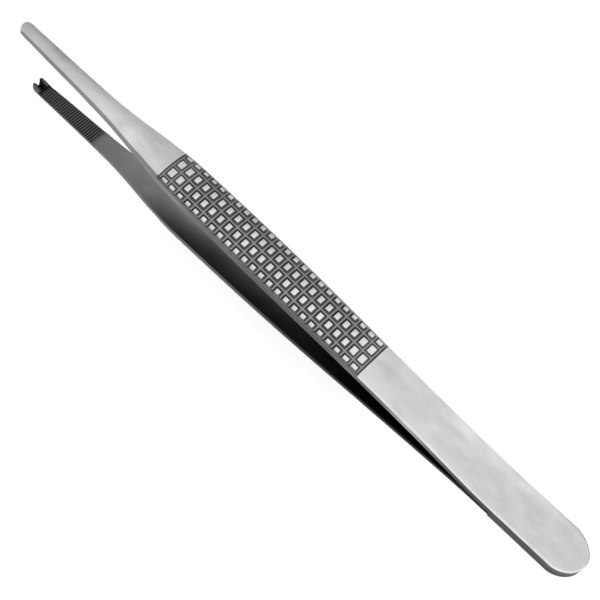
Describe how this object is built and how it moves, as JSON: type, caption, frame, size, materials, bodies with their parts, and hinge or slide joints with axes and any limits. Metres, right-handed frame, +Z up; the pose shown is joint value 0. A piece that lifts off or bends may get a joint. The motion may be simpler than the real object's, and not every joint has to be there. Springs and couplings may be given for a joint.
{
  "type": "thumb forceps",
  "caption": "Toothed thumb forceps with sprung steel limbs welded at the heel, checkered grips, finely serrated jaws and interlocking teeth at the tips.",
  "frame": {"origin": "On the floor, below the middle of the bounding box, with the forceps lying on the lower limb's grip and heel end.", "axes": "+X runs from the tips to the welded heel, +Y across the limbs, and +Z up from the floor, with the tips' opening upright."},
  "size_m": [0.1804, 0.011, 0.0287],
  "materials": {
    "upper_steel": "satin",
    "lower_steel": "satin"
  },
  "bodies": {
    "root": {"upper_limb": "upper_steel", "lower_limb": "lower_steel"}
  },
  "joints": []
}
